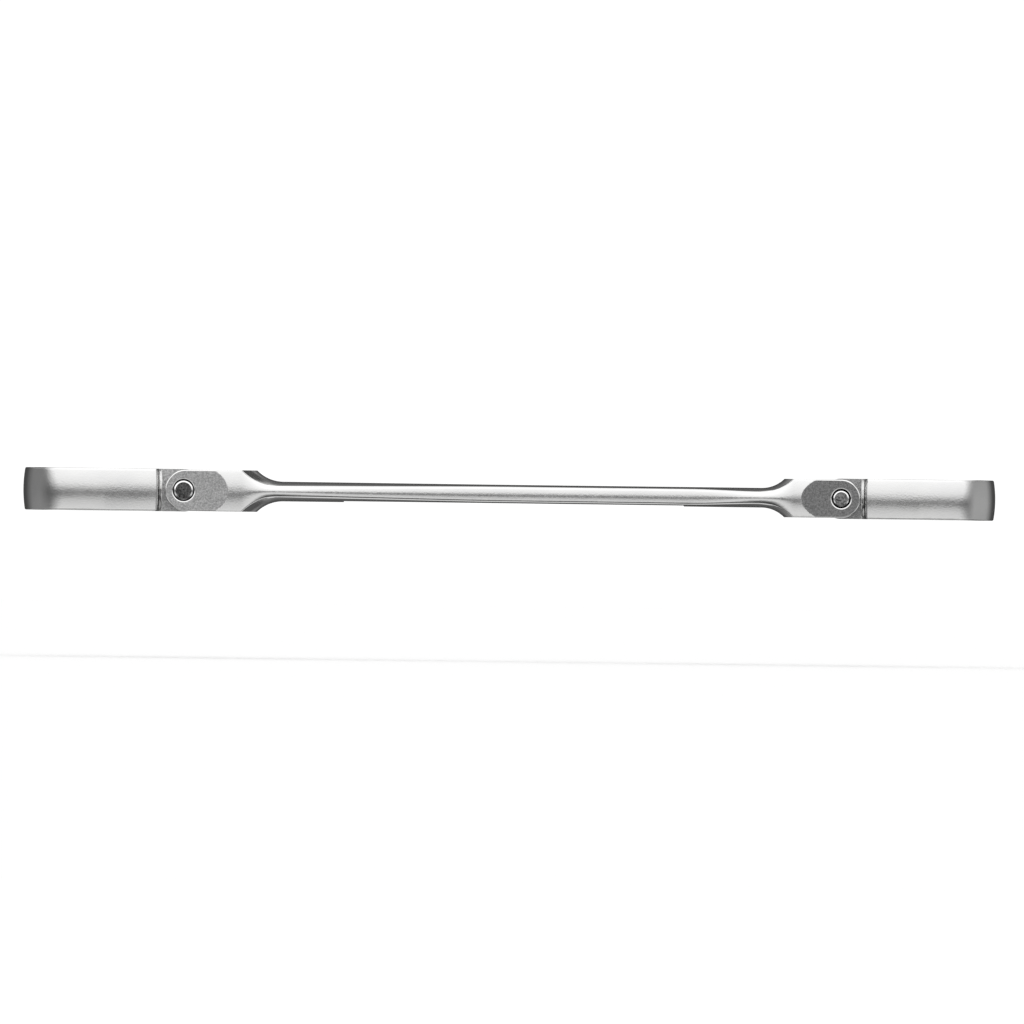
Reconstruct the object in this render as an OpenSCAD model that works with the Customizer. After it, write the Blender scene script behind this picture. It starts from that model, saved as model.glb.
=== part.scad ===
// Double-ended flex-head ratcheting ring wrench.
// X runs along the handle, Y is the width (the hinge pins lie along Y), Z is the thickness.
// The origin is the middle of the whole wrench. The large end is at -X and the small end at +X.

/* [Handle] */
// Distance between the two hinge pins
pin_span = 150; // [120:1:190]
// Thickness of the shank at its ridge, next to the forks
neck_t = 4.5; // [4.2:0.1:5.2]
// Thickness of the shank at its ridge, half way along
waist_t = 4.4; // [4:0.1:5]
// Width of the shank at its edges, next to the forks
neck_w = 11.6; // [10:0.2:13]
// Width of the shank at its edges, half way along
waist_w = 10.2; // [9:0.2:12]
// Length of the flat blank panel under the shank
panel_len = 77.6; // [40:0.2:80]
// Depth that the panel is pressed into the crowned face
panel_depth = 0.18; // [0.1:0.02:0.4]

/* [Large end] */
// Nut size across flats
large_nut = 13; // [12:1:14]
// Thickness of the head
large_head_t = 9.7; // [9.4:0.1:11]
// Diameter of the ring at its widest
large_ring_d = 27.5; // [27:0.5:30]
// Distance from the hinge pin to the tip of the head
large_reach = 36.7; // [36:0.1:40]
// Width over the two fork ears
large_fork_w = 15.6; // [15:0.2:17]
// Thickness of the fork ears
large_fork_t = 9.46; // [9:0.02:10]
// Width of the tongue between the ears
large_tongue_w = 6.6; // [6:0.2:7.4]
// Diameter of the hinge pin
large_pin_d = 5; // [4:0.1:5.2]
// Distance from the hinge pin to the end of the full-thickness block
large_block = 16.7; // [16:0.1:19]
// How far the end of that block bows out at its middle
large_bow = 3.6; // [2:0.1:4]
// Diameter over the teeth of the ratchet gear
large_gear_d = 19.9; // [19.5:0.1:21]

/* [Small end] */
// Nut size across flats
small_nut = 12; // [11:1:13]
// Thickness of the head
small_head_t = 9.2; // [9:0.1:10]
// Diameter of the ring at its widest
small_ring_d = 25.8; // [25.5:0.1:28]
// Distance from the hinge pin to the tip of the head
small_reach = 35.3; // [35:0.1:38]
// Width over the two fork ears
small_fork_w = 14.8; // [14.2:0.2:16]
// Thickness of the fork ears
small_fork_t = 8.8; // [8.6:0.1:9.2]
// Width of the tongue between the ears
small_tongue_w = 6.2; // [5.6:0.2:7]
// Diameter of the hinge pin
small_pin_d = 4.4; // [3.8:0.1:4.8]
// Distance from the hinge pin to the end of the full-thickness block
small_block = 12.9; // [12.5:0.1:15]
// How far the end of that block bows out at its middle
small_bow = 2.1; // [1.5:0.1:3]
// Diameter over the teeth of the ratchet gear
small_gear_d = 18.7; // [18.5:0.1:19.5]

/* [Ratchet] */
// Number of teeth round each gear
teeth = 72; // [60, 72, 84]
// Number of teeth on each pawl
pawl_teeth = 6; // [4:1:6]
// How far the middle of the pawl's teeth sits off the wrench's centre line, in degrees
pawl_offset = 25; // [20:1:26]
// Travel of the pawl as it rides over a tooth
pawl_travel = 0.6; // [0.5:0.05:0.7]

/* [Hidden] */

// Each list below holds the large end's value, then the small end's.
LARGE = 0;
SMALL = 1;
nut = [large_nut, small_nut];
head_t = [large_head_t, small_head_t];
ring_r = [large_ring_d / 2, small_ring_d / 2];
reach = [large_reach, small_reach];
fork_w = [large_fork_w, small_fork_w];
fork_t = [large_fork_t, small_fork_t];
tongue_w = [large_tongue_w, small_tongue_w];
pin_r = [large_pin_d / 2, small_pin_d / 2];
block = [large_block, small_block];
bow = [large_bow, small_bow];
gear_r = [large_gear_d / 2, small_gear_d / 2];

total_len = pin_span + reach[0] + reach[1];
pin_x = [-total_len / 2 + reach[0], total_len / 2 - reach[1]];
// Half of the pin span: where the two halves of the shank meet, seen from either pin.
mid = pin_span / 2;

// Fits, all on the radius or on one side.
run_gap = 0.05;
slide_gap = 0.06;
press_gap = 0.01;

// Crown of the polished side walls: how far they bulge at mid thickness.
head_crown = 0.4;
fork_crown = [0.35, 0.44];
shank_crown = 0.15;
// Small broken edge round the faces of the heads.
head_edge = 0.25;

// Handle.
flare_deg = 45;
neck_start = [3.3, 2.1];
neck_length = [22.3, 18.4];
fork_overcut = 0.13;
edge_drop = [1, 0.9];
edge_drop_length = 8;
edge_fade = [50, 14];
waist_drop = 0.5;
// How far the ears' round ends are centred behind the pin.
ear_set_back = [0.5, 0];
bow_lead = 8;
bow_fade = 22;
slot_depth = 5.3;
// How far the panel sits from mid span, towards the small end.
panel_shift = 0.35;

// Hinge pin ends: a stepped, chamfered nose that sits just below the ear.
pin_sink = 0.1;
pin_nose = 1;
pin_step = [0.28, 0.38];
pin_chamfer = [0.36, 0.3];
pin_hole_chamfer = 0.26;
// Depth of the chamfers on the pin and its hole, as a share of their width.
chamfer_slope = 0.55;

// Friction ball and spring in the bottom of each fork slot.
ball_r = 1.5;
ball_bore_r = 1.56;
ball_bore_end = [13.5, 12.3];
joint_spring_r = 1.12;
joint_spring_wire = 0.44;
joint_spring_turns = 5;

// Head: distance from the pin to the shoulder, and the fillet beside the tongue.
shoulder = [5.75, 5.45];
shoulder_r = 1.0;
shoulder_spread = 0.1;
// The neck leaves the ring at one angle and meets the shoulder at another.
neck_deg = 67;
shoulder_deg = 16;
neck_out = 5;
neck_in = 2;

// Gear stack, from the face that has the lip to the face that has the retaining ring.
lip_t = 1.4;
gear_float = 0.05;
top_stack = 2.3;
washer_t = 0.5;
clip_t = 0.85;
clip_depth = 0.6;
clip_gap = 2.2;
boss_step = 1.0;
cavity_gap = 0.15;
mouth_chamfer = 0.3;
socket_play = 0.15;
socket_chamfer = 0.45;

// Teeth: half widths of the flats at the tip and the root, in degrees.
tip_flat = 0.25;
root_flat = 0.3;
mesh_gap = 0.05;
tooth_step = 360 / teeth;

// Pawl, plunger and spring.
pawl_back = 2.65;
pawl_clear = 0.06;
plunger_head_r = 1.1;
plunger_head_t = 0.5;
plunger_stem_r = 0.55;
plunger_stem = 1.2;
spring_bore_r = 1.25;
spring_bore_len = 2.7;
pawl_spring_r = 0.92;
pawl_spring_wire = 0.3;
pawl_spring_turns = 5;

fine = 96;
medium = 64;
coil_sides = 8;
coil_steps = 12;

function mix(a, b, t) = a + (b - a) * t;
function clamp(v) = min(1, max(0, v));
function ease(v) = clamp(v) * clamp(v) * (3 - 2 * clamp(v));
function polar(r, a) = [r * cos(a), r * sin(a)];
function root_r(e) = gear_r[e] - gear_r[e] * (tooth_step / 2 - tip_flat - root_flat) * PI / 180;
function ring_x(e) = ring_r[e] - reach[e];
function lip_z(e) = lip_t - head_t[e] / 2;
function band_z(e) = head_t[e] / 2 - top_stack;
function washer_z(e) = band_z(e) + gear_float;
function clip_z(e) = washer_z(e) + washer_t + gear_float;

// Puts a shape made in an end's own frame in place: pin axis at the origin, +X towards the shank.
module at_end(e) {
    translate([pin_x[e], 0, 0])
        rotate([0, 0, e == LARGE ? 0 : 180])
            children();
}

// The same, with the centre of the ring at the origin.
module at_ring(e) {
    at_end(e)
        translate([ring_x(e), 0, 0])
            children();
}

// A round bar along Y through the pin axis.
module cross_bar(r, w) {
    rotate([90, 0, 0])
        cylinder(r = r, h = w, center = true, $fn = fine);
}

function average(v) = v * [for (i = v) 1] / len(v);

// Closed skin over rings of points that all have the same count. Its flat ends fan out from their middles.
module skin(rings) {
    n = len(rings[0]);
    last = len(rings) - 1;
    middles = [for (i = [0, last]) [for (k = [0 : 2]) average([for (p = rings[i]) p[k]])]];
    points = concat([for (ring = rings) each ring], middles);
    walls = [
        for (i = [0 : last - 1], j = [0 : n - 1])
            let (a = i * n + j, b = i * n + (j + 1) % n)
                each [[a, b, b + n], [a, b + n, a + n]]
    ];
    caps = [
        for (j = [0 : n - 1])
            let (k = (j + 1) % n, hub = (last + 1) * n)
                each [[hub, k, j], [hub + 1, last * n + j, last * n + k]]
    ];
    polyhedron(points = points, faces = concat(walls, caps), convexity = 8);
}

// Coil of round wire along X, from x0 to x1 over the wire's centre line.
module coil(x0, x1, r, wire, turns) {
    rise = (x1 - x0) / turns;
    along = rise / (2 * PI * r);
    skin([
        for (i = [0 : turns * coil_steps])
            let (
                a = i * 360 / coil_steps,
                out = [0, cos(a), sin(a)],
                side = [1, along * sin(a), -along * cos(a)] / norm([1, along])
            )
                [
                    for (k = [0 : coil_sides - 1])
                        let (b = k * 360 / coil_sides)
                            [x0 + rise * a / 360, 0, 0] + out * (r + wire * cos(b)) + side * wire * sin(b)
                ]
    ]);
}

// ---------------------------------------------------------------- handle

// Radius of the scoop that runs from the block down to the shank.
function scoop_r(e) = (fork_t[e] - neck_t) / 2 / (1 - cos(flare_deg));
function scoop_end(e) = block[e] + scoop_r(e) * sin(flare_deg);

// Half thickness at the ridge, s along the handle from the pin.
function ridge(e, s) =
    s <= block[e] ? fork_t[e] / 2 :
    s < scoop_end(e) ? neck_t / 2 + scoop_r(e) - sqrt(pow(scoop_r(e), 2) - pow(scoop_end(e) - s, 2)) :
    mix(neck_t, waist_t, ease((s - scoop_end(e)) / (mid - scoop_end(e)))) / 2;

// How much lower the edges are than the ridge.
function drop(e, s) =
    s <= block[e] ? 0 :
    edge_drop[e] * ease((s - block[e]) / edge_drop_length)
    - (edge_drop[e] - waist_drop) * ease((s - block[e] - edge_drop_length) / edge_fade[e]);

// How far the edges lag behind the ridge, because the block's end is bowed.
function lag(e, s) =
    bow[e]
    * ease((s - block[e] + bow_lead) / bow_lead)
    * (1 - ease((s - scoop_end(e)) / bow_fade));

// Half width at the edges, x from the pin.
function shank_half(e, x) = mix(neck_w, waist_w, ease((x - neck_start[e]) / (mid - neck_start[e]))) / 2;
function half_width(e, x) =
    let (narrow = shank_half(e, x), flare = 1 - ease((x - neck_start[e]) / neck_length[e]))
    narrow + (fork_w[e] / 2 + fork_overcut - narrow) * flare;

// Bulge of the side walls, x from the pin.
function side_crown(e, x) = mix(fork_crown[e], shank_crown, ease((x - block[e]) / neck_length[e]));

across = [for (v = [-4 : 4]) v / 4];
up_side = [-0.55, 0, 0.55];
ear_stations = [-7, 1, 5, 8];
block_start = 10;

// One cross section. Its edges lag, so it is bowed in plan.
function section(e, s) =
    let (
        edge_x = s - lag(e, s),
        edge_z = ridge(e, s) - drop(e, s),
        edge_y = half_width(e, edge_x)
    )
    concat(
        [
            for (v = across)
                let (x = s - lag(e, s) * v * v)
                    [x, v * half_width(e, x), ridge(e, s) - drop(e, s) * v * v]
        ],
        [for (u = up_side) [edge_x, edge_y + side_crown(e, edge_x) * (1 - u * u), -u * edge_z]],
        [
            for (v = across)
                let (x = s - lag(e, s) * v * v)
                    [x, -v * half_width(e, x), drop(e, s) * v * v - ridge(e, s)]
        ],
        [for (u = up_side) [edge_x, -edge_y - side_crown(e, edge_x) * (1 - u * u), u * edge_z]]
    );

// Places along one half of the handle where a cross section is drawn.
function stations(e) = concat(
    ear_stations,
    [for (i = [0 : 3]) mix(block_start, block[e], i / 3)],
    [for (i = [1 : 7]) mix(block[e], scoop_end(e), i / 7)],
    [for (i = [1 : 9]) mix(scoop_end(e), mid, i / 9)]
);

function half_rings(e, turn) = [
    for (s = stations(e))
        [for (p = section(e, s)) [pin_x[e] + turn * p[0], turn * p[1], p[2]]]
];

// The large half runs up to the middle; the small half is read backwards from just past it.
// A half turn carries the small end's points to the same places as the large end's, half a section on.
function handle_rings() =
    let (
        large_half = half_rings(LARGE, 1),
        small_half = half_rings(SMALL, -1),
        n = len(small_half[0]),
        last = len(small_half) - 1
    )
    concat(
        large_half,
        [
            for (i = [last - 1 : -1 : 0])
                [for (j = [0 : n - 1]) mirror_index(small_half[i], j, n)]
        ]
    );

// The point of a half-turned section that lies where point j of an unturned one would.
function mirror_index(ring, j, n) =
    let (a = len(across), k = len(up_side))
    j < a ? ring[a - 1 - j] :
    j < a + k ? ring[n - 1 - (j - a)] :
    j < 2 * a + k ? ring[2 * a + k - 1 - (j - a - k)] :
    ring[a + k - 1 - (j - 2 * a - k)];

// Everything that a half of the handle may fill: flat ears with round ends, and the shank.
module fork_envelope(e) {
    at_end(e)
        translate([ear_set_back[e], 0, 0]) {
            cross_bar(fork_t[e] / 2, fork_w[e]);
            translate([0, -fork_w[e] / 2, -fork_t[e]])
                cube([mid + 1, fork_w[e], 2 * fork_t[e]]);
        }
}

// What is cut out of a fork: slot, pin hole and the ball's bore.
module fork_cuts(e) {
    slot_w = tongue_w[e] + 2 * slide_gap;
    hole_r = pin_r[e] + press_gap;
    mouth_r = hole_r + pin_hole_chamfer;
    at_end(e) {
        translate([-10, -slot_w / 2, -10])
            cube([10 + slot_depth, slot_w, 20]);
        cross_bar(hole_r, fork_w[e] + 2);
        for (side = [-1, 1])
            translate([0, side * fork_w[e] / 2, 0])
                rotate([90 * side, 0, 0])
                    translate([0, 0, -0.01])
                        cylinder(r1 = mouth_r, r2 = hole_r, h = pin_hole_chamfer * chamfer_slope, $fn = fine);
        rotate([0, 90, 0])
            cylinder(r = ball_bore_r, h = ball_bore_end[e], $fn = medium);
    }
}

// Flat pressed into the lower crowned face.
module panel_cut() {
    middle = (pin_x[0] + pin_x[1]) / 2 + panel_shift;
    translate([middle - panel_len / 2, -waist_w / 2, -waist_t])
        cube([panel_len, waist_w, waist_t / 2 + panel_depth]);
}

module handle() {
    color("silver")
        difference() {
            intersection() {
                skin(handle_rings());
                union() {
                    fork_envelope(LARGE);
                    fork_envelope(SMALL);
                }
            }
            fork_cuts(LARGE);
            fork_cuts(SMALL);
            panel_cut();
        }
}

module pivot_pin(e) {
    half = fork_w[e] / 2 - pin_sink;
    nose_r = pin_r[e] - pin_step[e];
    chamfer = pin_chamfer[e];
    slope = chamfer * chamfer_slope;
    nose = pin_nose + pin_step[e];
    color("dimgray")
        at_end(e)
            rotate([90, 0, 0])
                rotate_extrude($fn = fine)
                    polygon([
                        [0, -half],
                        [nose_r - chamfer, -half],
                        [nose_r, -half + slope],
                        [nose_r, -half + pin_nose],
                        [pin_r[e], -half + nose],
                        [pin_r[e], half - nose],
                        [nose_r, half - pin_nose],
                        [nose_r, half - slope],
                        [nose_r - chamfer, half],
                        [0, half]
                    ]);
}

// The ball bears on the round end of the tongue and holds the head at any angle.
function ball_x(e) = head_t[e] / 2 + ball_r + 0.02;

module joint_ball(e) {
    color("gainsboro")
        at_end(e)
            translate([ball_x(e), 0, 0])
                sphere(r = ball_r, $fn = medium);
}

module joint_spring(e) {
    color("slategray")
        at_end(e)
            coil(
                ball_x(e) + ball_r * 0.75 + joint_spring_wire / 2,
                ball_bore_end[e] - joint_spring_wire / 2 - 0.02,
                joint_spring_r,
                joint_spring_wire / 2,
                joint_spring_turns
            );
}

// ---------------------------------------------------------------- heads

function curve(a, b, c, d, t) =
    a * pow(1 - t, 3) + 3 * b * t * pow(1 - t, 2) + 3 * c * t * t * (1 - t) + d * pow(t, 3);

// One side of the neck, from the ring to the shoulder, in the ring's frame.
function neck_side(e, inset) =
    let (
        a = polar(ring_r[e] - inset, neck_deg),
        d = [-ring_x(e) - shoulder[e], fork_w[e] / 2 + shoulder_spread - inset],
        b = a + neck_out * [sin(neck_deg), -cos(neck_deg)],
        c = d + neck_in * [-cos(shoulder_deg), sin(shoulder_deg)]
    )
    [for (i = [0 : 10]) curve(a, b, c, d, i / 10)];

// Outline of the head in plan, inset all round but not at the shoulder.
function head_outline(e, inset) =
    let (side = neck_side(e, inset), last = len(side) - 1)
    concat(
        [for (i = [1 : 47]) polar(ring_r[e] - inset, neck_deg + (360 - 2 * neck_deg) * i / 48)],
        [for (i = [0 : last]) [side[i][0], -side[i][1]]],
        [for (i = [last : -1 : 0]) side[i]]
    );

// Height and inset of each layer of the crowned, edge-broken wall.
function head_layers(e) =
    let (h = head_t[e] / 2, top = h - head_edge)
    concat(
        [[-h, head_crown + head_edge]],
        [for (i = [-4 : 4]) [top * i / 4, head_crown * pow(top * i / 4 / h, 2)]],
        [[h, head_crown + head_edge]]
    );

module head_solid(e) {
    translate([ring_x(e), 0, 0])
        skin([
            for (layer = head_layers(e))
                [for (p = head_outline(e, layer[1])) [p[0], -p[1], layer[0]]]
        ]);
}

// Tongue with a full round end, and a fillet on each side where it leaves the shoulder.
module tongue(e) {
    w = tongue_w[e];
    cross_bar(head_t[e] / 2, w);
    translate([-shoulder[e] - 3, -w / 2, -head_t[e] / 2])
        cube([shoulder[e] + 3, w, head_t[e]]);
    translate([-shoulder[e], 0, -head_t[e] / 2])
        linear_extrude(head_t[e])
            for (side = [-1, 1])
                difference() {
                    translate([-1, side * w / 2 - (side < 0 ? shoulder_r : 0.5)])
                        square([1 + shoulder_r, shoulder_r + 0.5]);
                    translate([shoulder_r, side * (w / 2 + shoulder_r)])
                        circle(r = shoulder_r, $fn = medium);
                }
}

// Room for the gear, washer and retaining ring, in the ring's frame.
module gear_cavity(e) {
    bore = gear_r[e] + cavity_gap;
    top = head_t[e] / 2;
    translate([0, 0, lip_z(e)])
        cylinder(r = bore, h = head_t[e], $fn = fine);
    translate([0, 0, -head_t[e]])
        cylinder(r = gear_r[e] - boss_step + run_gap, h = head_t[e], $fn = fine);
    translate([0, 0, clip_z(e) - gear_float / 2])
        cylinder(r = bore + clip_depth, h = clip_t + gear_float, $fn = fine);
    translate([0, 0, top - mouth_chamfer])
        cylinder(r1 = bore, r2 = bore + mouth_chamfer + 0.01, h = mouth_chamfer + 0.01, $fn = fine);
}

// Sides and back of the pawl, in the ring's frame.
function pawl_half_deg() = pawl_teeth * tooth_step / 2;
function pawl_low(e) = -(gear_r[e] + mesh_gap) * sin(pawl_offset_deg() + pawl_half_deg());
function pawl_high(e) = -(gear_r[e] + mesh_gap) * sin(pawl_offset_deg() - pawl_half_deg());
function pawl_back_x(e) = gear_r[e] + pawl_back;
function spring_y(e) = (pawl_low(e) + pawl_high(e)) / 2;
function pocket_end(e) = pawl_back_x(e) + pawl_travel + 0.15;

// The offset that puts whole teeth in mesh: between two gear teeth for an even count.
function pawl_offset_deg() =
    let (half = tooth_step / 2, odd = pawl_teeth % 2)
    odd == 1 ? (round(pawl_offset / tooth_step - 0.5) + 0.5) * tooth_step :
    round(pawl_offset / tooth_step) * tooth_step;

// Pocket for the pawl and bore for its spring, in the ring's frame.
module pawl_pocket(e) {
    low = pawl_low(e) - pawl_clear;
    high = pawl_high(e) + pawl_clear;
    start = gear_r[e] * 0.6;
    translate([start, low, lip_z(e)])
        cube([pocket_end(e) - start, high - low, band_z(e) + gear_float - lip_z(e)]);
    translate([pocket_end(e) - 1, spring_y(e), pawl_mid_z(e)])
        rotate([0, 90, 0])
            cylinder(r = spring_bore_r, h = 1 + spring_bore_len, $fn = medium);
}
function pawl_mid_z(e) = (lip_z(e) + band_z(e)) / 2;

module head(e) {
    color("silver")
        at_end(e)
            difference() {
                union() {
                    head_solid(e);
                    tongue(e);
                }
                translate([ring_x(e), 0, 0]) {
                    gear_cavity(e);
                    pawl_pocket(e);
                }
                cross_bar(pin_r[e] + run_gap, tongue_w[e] + 4);
            }
}

// ---------------------------------------------------------------- ratchet

function tooth_ring(e) = [
    for (i = [0 : teeth - 1])
        let (a = i * tooth_step, half = tooth_step / 2)
            each [
                polar(root_r(e), a - half + root_flat),
                polar(gear_r[e], a - tip_flat),
                polar(gear_r[e], a + tip_flat),
                polar(root_r(e), a + half - root_flat)
            ]
];

// Twelve-point opening: two hexagons, one turned by 30 degrees.
function twelve_point(flats) = [
    for (i = [0 : 23])
        polar(flats / 2 / cos(i % 2 == 0 ? 30 : 15), i * 15)
];

module ratchet_gear(e) {
    half = head_t[e] / 2;
    boss_r = gear_r[e] - boss_step;
    flats = nut[e] + socket_play;
    mouth_r = flats / 2 / cos(30) + 0.1;
    color("darkgray")
        at_ring(e)
            difference() {
                union() {
                    translate([0, 0, lip_z(e) + gear_float])
                        linear_extrude(band_z(e) - lip_z(e) - gear_float)
                            polygon(tooth_ring(e));
                    translate([0, 0, -half])
                        cylinder(r = boss_r, h = head_t[e], $fn = fine);
                }
                translate([0, 0, -half - 1])
                    linear_extrude(head_t[e] + 2)
                        polygon(twelve_point(flats));
                for (face = [0, 1])
                    mirror([0, 0, face])
                        translate([0, 0, half - socket_chamfer])
                            cylinder(
                                r1 = mouth_r - socket_chamfer,
                                r2 = mouth_r + 0.01,
                                h = socket_chamfer + 0.01,
                                $fn = fine
                            );
            }
}

// Toothed front, flat sides and back. Its teeth fill the gaps of the gear, less the mesh gap.
function pawl_outline(e) =
    let (
        first = -pawl_offset_deg() - pawl_half_deg(),
        tip = root_r(e) + mesh_gap,
        root = gear_r[e] + mesh_gap,
        half = tooth_step / 2
    )
    concat(
        [
            for (i = [0 : pawl_teeth - 1])
                let (a = first + i * tooth_step)
                    each [
                        polar(root, a + (i == 0 ? 0 : tip_flat)),
                        polar(tip, a + half - root_flat),
                        polar(tip, a + half + root_flat),
                        polar(root, a + tooth_step - (i == pawl_teeth - 1 ? 0 : tip_flat))
                    ]
        ],
        [[pawl_back_x(e), pawl_high(e)], [pawl_back_x(e), pawl_low(e)]]
    );

module pawl(e) {
    color("darkslategray")
        at_ring(e)
            translate([0, 0, lip_z(e) + gear_float])
                linear_extrude(band_z(e) - lip_z(e) - gear_float)
                    polygon(pawl_outline(e));
}

module pawl_plunger(e) {
    color("gainsboro")
        at_ring(e)
            translate([pawl_back_x(e) + 0.02, spring_y(e), pawl_mid_z(e)])
                rotate([0, 90, 0]) {
                    cylinder(r = plunger_head_r, h = plunger_head_t, $fn = medium);
                    cylinder(r = plunger_stem_r, h = plunger_head_t + plunger_stem, $fn = medium);
                }
}

module pawl_spring(e) {
    color("slategray")
        at_ring(e)
            translate([0, spring_y(e), pawl_mid_z(e)])
                coil(
                    pawl_back_x(e) + plunger_head_t + 0.04 + pawl_spring_wire / 2,
                    pocket_end(e) + spring_bore_len - pawl_spring_wire / 2 - 0.02,
                    pawl_spring_r,
                    pawl_spring_wire / 2,
                    pawl_spring_turns
                );
}

module flat_ring(outer, inner, t) {
    difference() {
        cylinder(r = outer, h = t, $fn = fine);
        translate([0, 0, -1])
            cylinder(r = inner, h = t + 2, $fn = fine);
    }
}

module thrust_washer(e) {
    color("darkgray")
        at_ring(e)
            translate([0, 0, washer_z(e)])
                flat_ring(gear_r[e] + cavity_gap - run_gap, gear_r[e] - boss_step + 0.1, washer_t);
}

module retaining_ring(e) {
    outer = gear_r[e] + cavity_gap + clip_depth - run_gap;
    color("dimgray")
        at_ring(e)
            translate([0, 0, clip_z(e)])
                difference() {
                    flat_ring(outer, gear_r[e] - boss_step + 0.35, clip_t);
                    translate([-outer - 1, -clip_gap / 2, -1])
                        cube([outer, clip_gap, clip_t + 2]);
                }
}

handle();
pivot_pin(LARGE);  // pivot_pin_large
pivot_pin(SMALL);  // pivot_pin_small
joint_ball(LARGE);  // joint_ball_large
joint_ball(SMALL);  // joint_ball_small
joint_spring(LARGE);  // joint_spring_large
joint_spring(SMALL);  // joint_spring_small
head(LARGE);  // head_large
head(SMALL);  // head_small
ratchet_gear(LARGE);  // ratchet_gear_large
ratchet_gear(SMALL);  // ratchet_gear_small
pawl(LARGE);  // pawl_large
pawl(SMALL);  // pawl_small
pawl_plunger(LARGE);  // pawl_plunger_large
pawl_plunger(SMALL);  // pawl_plunger_small
pawl_spring(LARGE);  // pawl_spring_large
pawl_spring(SMALL);  // pawl_spring_small
thrust_washer(LARGE);  // thrust_washer_large
thrust_washer(SMALL);  // thrust_washer_small
retaining_ring(LARGE);  // retaining_ring_large
retaining_ring(SMALL);  // retaining_ring_small
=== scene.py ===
"""Looks of the double-ended flex-head ratcheting ring wrench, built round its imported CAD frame.

Shapes are worked out in millimetres in an end's own frame: the hinge pin's axis is the origin, +X runs
towards the shank, Y lies along the pin and Z is the thickness. place() carries them to the row's metres.
"""

import math
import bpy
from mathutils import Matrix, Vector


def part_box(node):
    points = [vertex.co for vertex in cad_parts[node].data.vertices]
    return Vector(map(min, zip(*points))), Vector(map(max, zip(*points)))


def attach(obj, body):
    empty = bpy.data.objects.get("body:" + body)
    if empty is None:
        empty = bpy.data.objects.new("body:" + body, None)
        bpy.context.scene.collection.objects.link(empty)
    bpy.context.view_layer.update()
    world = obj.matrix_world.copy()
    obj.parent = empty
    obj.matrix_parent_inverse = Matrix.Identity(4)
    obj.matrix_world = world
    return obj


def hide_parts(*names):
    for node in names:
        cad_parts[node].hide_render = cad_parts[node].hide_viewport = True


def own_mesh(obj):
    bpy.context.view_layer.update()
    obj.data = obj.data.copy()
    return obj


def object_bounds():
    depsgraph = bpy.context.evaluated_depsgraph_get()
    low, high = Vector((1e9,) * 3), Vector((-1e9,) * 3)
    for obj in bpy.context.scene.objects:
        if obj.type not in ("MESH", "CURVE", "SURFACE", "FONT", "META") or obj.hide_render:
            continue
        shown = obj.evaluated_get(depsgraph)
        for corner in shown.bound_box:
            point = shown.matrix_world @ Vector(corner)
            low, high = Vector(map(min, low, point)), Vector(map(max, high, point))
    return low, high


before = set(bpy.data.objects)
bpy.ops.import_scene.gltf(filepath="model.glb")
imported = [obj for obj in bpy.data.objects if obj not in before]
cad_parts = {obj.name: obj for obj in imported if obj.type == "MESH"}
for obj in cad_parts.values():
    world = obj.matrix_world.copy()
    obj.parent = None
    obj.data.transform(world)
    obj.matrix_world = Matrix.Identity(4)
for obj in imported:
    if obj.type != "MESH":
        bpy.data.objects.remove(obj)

from types import SimpleNamespace

import bmesh
import bpy
from mathutils import Matrix, Vector

CAD_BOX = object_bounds()
MM = 0.001

# ---------------------------------------------------------------- sizes that the design and the looks share

# The shank, from the neck behind each fork to the waist halfway along.
NECK_T = 4.5
WAIST_T = 4.4
NECK_W = 11.6
WAIST_W = 10.2
WAIST_DROP = 0.5
SHANK_CROWN = 0.15
EDGE_DROP_LENGTH = 8.0
BOW_LEAD = 8.0
BOW_FADE = 22.0

# The blank panel pressed into the shank's lower face.
PANEL_LEN = 77.6
PANEL_DEPTH = 0.18
PANEL_SHIFT = 0.35
PANEL_SLOPE = 0.6

# The forks and the pins through them.
FLARE = math.radians(45)
FORK_OVERCUT = 0.13
SLOT_DEPTH = 5.3
SLIDE_GAP = 0.06
RUN_GAP = 0.05
PRESS_GAP = 0.01
PIN_SINK = 0.1
PIN_NOSE = 1.0
PIN_HOLE_CHAMFER = 0.26
BORE_CHAMFER = 0.15
CHAMFER_SLOPE = 0.55
BALL_BORE_R = 1.56

# The heads' outline and wall.
HEAD_CROWN = 0.4
NECK_DEG = 67
SHOULDER_DEG = 16
NECK_OUT = 5.0
NECK_IN = 2.0
SHOULDER_R = 1.0
SHOULDER_SPREAD = 0.1

# The ratchets' rooms in the heads, with their washers and retaining rings.
LIP_T = 1.4
LIP_CHAMFER = 0.25
GEAR_FLOAT = 0.05
TOP_STACK = 2.3
WASHER_T = 0.5
CLIP_T = 0.85
CLIP_DEPTH = 0.6
CLIP_GAP = 2.2
CLIP_OVERHANG = 0.35
BOSS_STEP = 1.0
CAVITY_GAP = 0.15
MOUTH_CHAMFER = 0.3
PAWL_ROOM = 0.75
SPRING_BORE_R = 1.25
SPRING_BORE_LEN = 2.7

# Springs: wire thickness and count of turns.
PAWL_WIRE = 0.3
JOINT_WIRE = 0.44
COIL_TURNS = 5

# Edges that the looks round off.
EDGE_R = 0.45
NECK_EDGE_R = 0.16
EAR_EDGE_R = 0.3
SLOT_EDGE_R = 0.35
SLOT_FLARE = 0.22
HEAD_EDGE_R = 0.3
SHOULDER_EDGE_R = 0.45
PIN_EDGE_R = 0.03
CLIP_EDGE_R = 0.1

# How far a cutter reaches past what it cuts, and the tongue's blank past its round end.
PAST = 1.0
TIP_SPARE = 0.6

# Meshes: points this near are one (before and after scaling to metres), and faces this flat are merged.
WELD = 1e-4
WELD_M = 2e-7
FLAT_DEG = 0.02


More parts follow.
